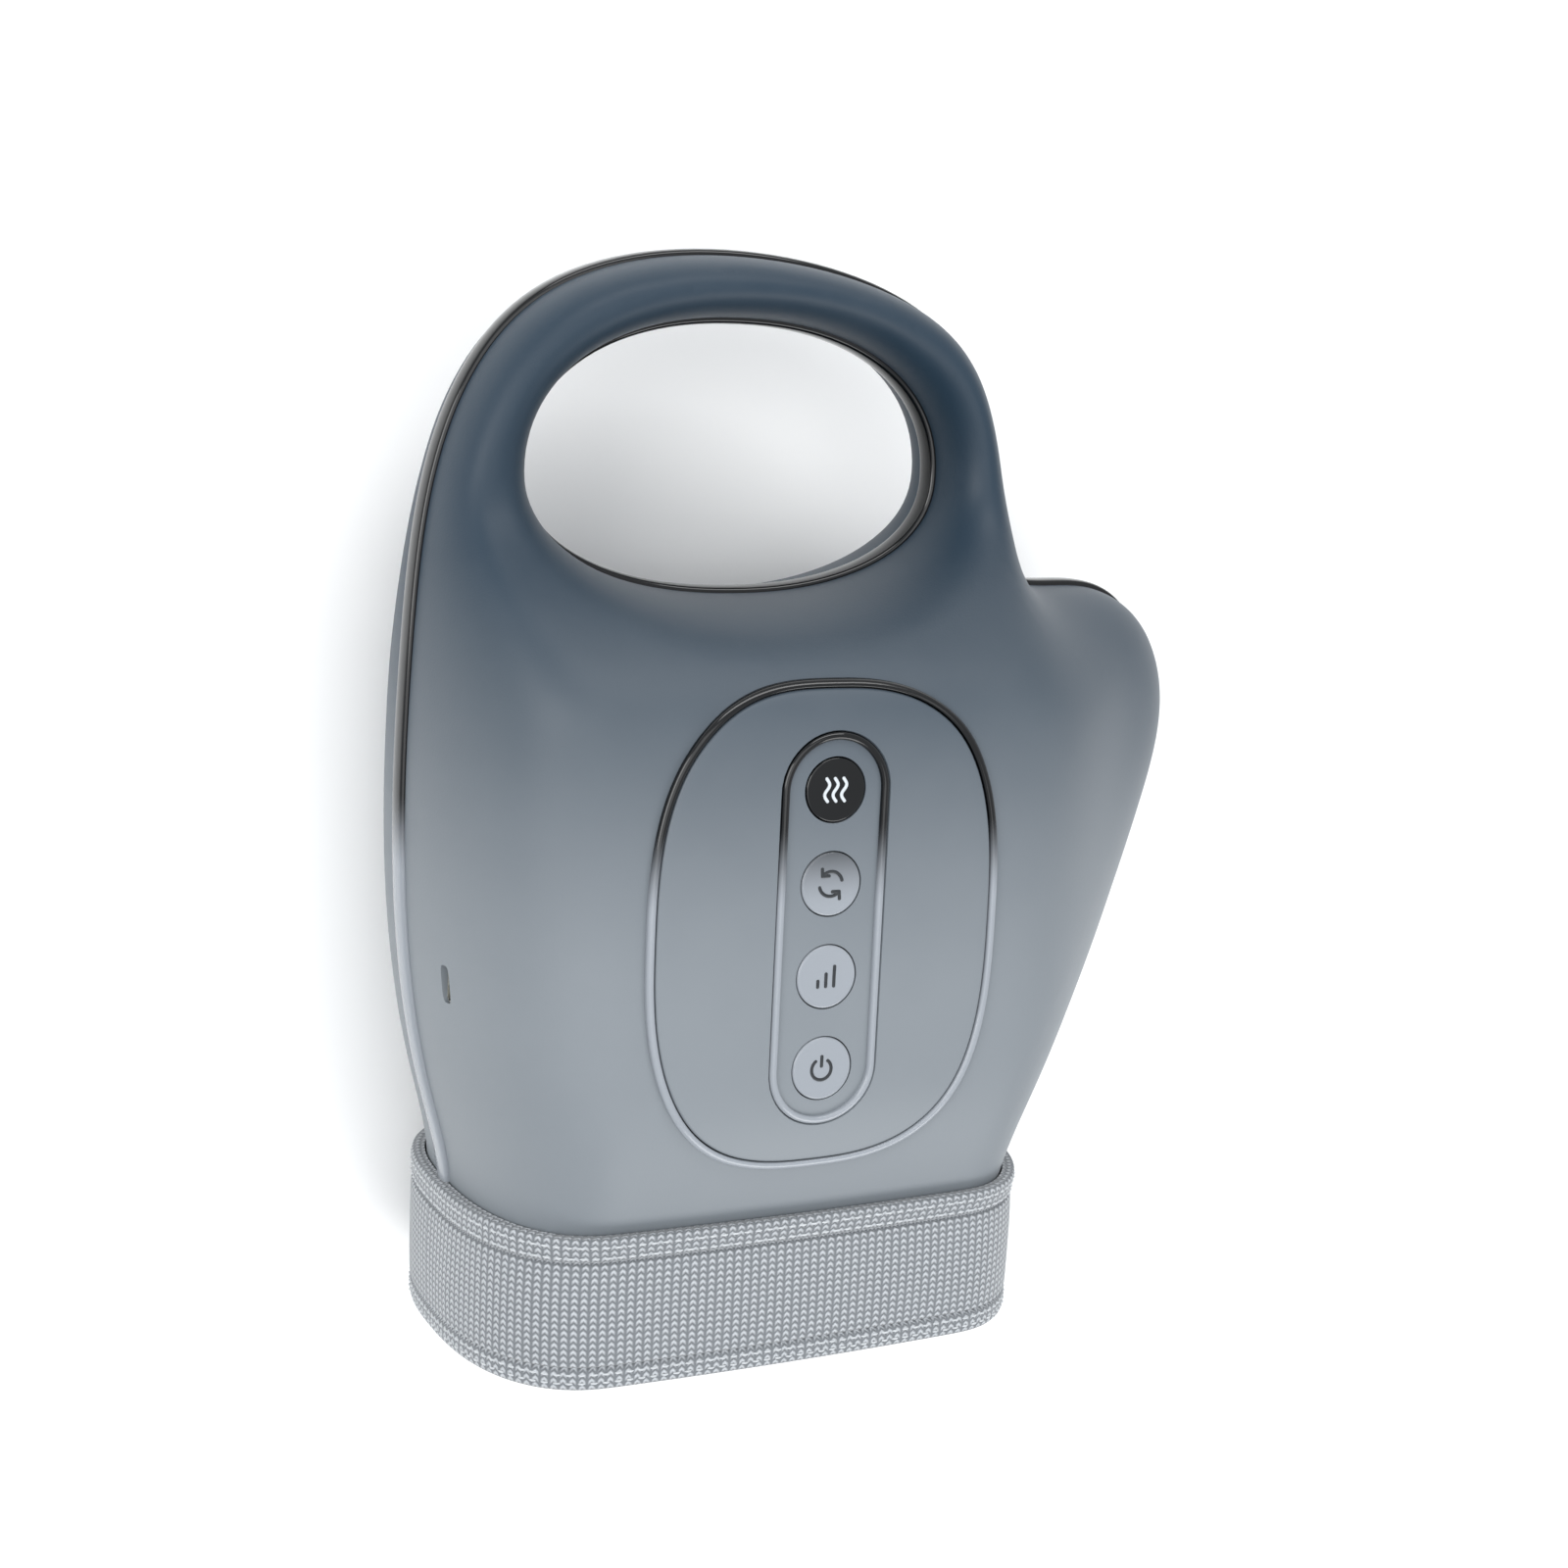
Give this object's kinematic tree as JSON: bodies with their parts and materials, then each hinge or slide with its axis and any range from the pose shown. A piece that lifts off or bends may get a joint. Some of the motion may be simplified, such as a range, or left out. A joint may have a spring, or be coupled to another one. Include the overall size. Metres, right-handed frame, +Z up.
{
  "type": "hand massager",
  "caption": "Cordless air-compression hand massager: a mitten-shaped casing with a carrying handle, a thumb lobe, a key island on top and a knitted wrist cuff.",
  "frame": {"origin": "on the surface that it rests on, under the middle of its outline", "axes": "+Z up through the keys, +Y from the wrist to the handle, +X towards the thumb's side"},
  "size_m": [0.2199, 0.28, 0.114],
  "materials": {
    "shell": "moulded ABS with a matte soft-touch coat that fades from dark slate blue at the handle to mid grey at the wrist",
    "island": "satin moulded ABS sprayed with the shell's fade",
    "gloss_trim": "polished and lacquered ABS that fades from black at the handle to silver grey at the wrist",
    "key_cap": "polished and lacquered key caps, black at the handle's end and silver grey after it, with printed marks",
    "cuff_knit": "light grey knitted stretch fabric over foam, with bound hems",
    "lining": "fine dark knit lining",
    "inner_frame": "moulded black ABS",
    "foot_rubber": "moulded black rubber",
    "screw_steel": "zinc-plated steel",
    "circuit_board": "glass-epoxy board under green solder mask",
    "switch_plastic": "black moulded nylon",
    "bladder_film": "welded polyurethane film on woven nylon",
    "heater_film": "polyimide heater film",
    "can_steel": "drawn nickel-plated steel",
    "bush_brass": "sintered bronze bush",
    "rotor_copper": "enamelled copper windings on a steel core",
    "nylon": "natural moulded nylon",
    "pump_plastic": "black moulded nylon",
    "silicone": "translucent silicone rubber",
    "spring_steel": "drawn spring steel wire",
    "cell_wrap": "blue shrink wrap over the cell's can",
    "socket_steel": "stamped nickel-plated steel shell"
  },
  "bodies": {
    "casing": {"upper_shell": "shell", "lower_shell": "shell", "island_panel": "island", "seam_band": "gloss_trim", "handle_trim": "gloss_trim", "island_ring": "gloss_trim", "key_bezel": "gloss_trim", "cuff": "cuff_knit", "hand_liner": "lining", "mouth_frame": "inner_frame", "upper_frame": "inner_frame", "lower_frame": "inner_frame", "front_left_foot": "foot_rubber", "front_right_foot": "foot_rubber", "back_left_foot": "foot_rubber", "back_right_foot": "foot_rubber", "handle_screw": "screw_steel", "finger_screw": "screw_steel", "thumb_screw": "screw_steel", "heel_screw": "screw_steel", "wrist_screw": "screw_steel", "board_screw_1": "screw_steel", "board_screw_2": "screw_steel", "key_board": "circuit_board", "heat_switch": "switch_plastic", "mode_switch": "switch_plastic", "intensity_switch": "switch_plastic", "power_switch": "switch_plastic", "upper_finger_airbag": "bladder_film", "upper_palm_airbag": "bladder_film", "lower_palm_airbag": "bladder_film", "heating_pad": "heater_film", "motor_can": "can_steel", "motor_endcap": "switch_plastic", "motor_bush": "bush_brass", "pump_rocker": "nylon", "pump_body": "pump_plastic", "pump_cover": "pump_plastic", "pump_diaphragm": "silicone", "air_manifold": "nylon", "finger_valve": "can_steel", "palm_valve": "can_steel", "finger_valve_spring": "spring_steel", "palm_valve_spring": "spring_steel", "pump_hose": "silicone", "finger_hose": "silicone", "palm_hose": "silicone", "lower_hose": "silicone", "inner_battery_cell": "cell_wrap", "outer_battery_cell": "cell_wrap", "charge_socket": "socket_steel"},
    "heat_button": {"heat_key": "key_cap"},
    "mode_button": {"mode_key": "key_cap"},
    "intensity_button": {"intensity_key": "key_cap"},
    "power_button": {"power_key": "key_cap"},
    "pump_rotor": {"motor_rotor": "rotor_copper", "pump_crank": "nylon"},
    "finger_valve_core": {"finger_plunger": "screw_steel"},
    "palm_valve_core": {"palm_plunger": "screw_steel"}
  },
  "joints": [
    {"name": "heat_press", "type": "slide", "parent": "casing", "child": "heat_button", "axis": [0, 0, -1], "range_m": [0, 0.0005], "stiffness_N_per_m": 1500, "springref_m": -0.0003},
    {"name": "mode_press", "type": "slide", "parent": "casing", "child": "mode_button", "axis": [0, 0, -1], "range_m": [0, 0.0005], "stiffness_N_per_m": 1500, "springref_m": -0.0003},
    {"name": "intensity_press", "type": "slide", "parent": "casing", "child": "intensity_button", "axis": [0, 0, -1], "range_m": [0, 0.0005], "stiffness_N_per_m": 1500, "springref_m": -0.0003},
    {"name": "power_press", "type": "slide", "parent": "casing", "child": "power_button", "axis": [0, 0, -1], "range_m": [0, 0.0005], "stiffness_N_per_m": 1500, "springref_m": -0.0003},
    {"name": "pump_spin", "type": "hinge", "parent": "casing", "child": "pump_rotor", "pos_m": [-0.05896, -0.02996, 0.0862], "axis": [0, 1, 0], "continuous": true},
    {"name": "finger_valve_stroke", "type": "slide", "parent": "casing", "child": "finger_valve_core", "axis": [0, 0, -1], "range_m": [0, 0.001], "stiffness_N_per_m": 400, "springref_m": -0.0005, "deforming": ["finger_valve_spring"]},
    {"name": "palm_valve_stroke", "type": "slide", "parent": "casing", "child": "palm_valve_core", "axis": [0, 0, -1], "range_m": [0, 0.001], "stiffness_N_per_m": 400, "springref_m": -0.0005, "deforming": ["palm_valve_spring"]}
  ]
}
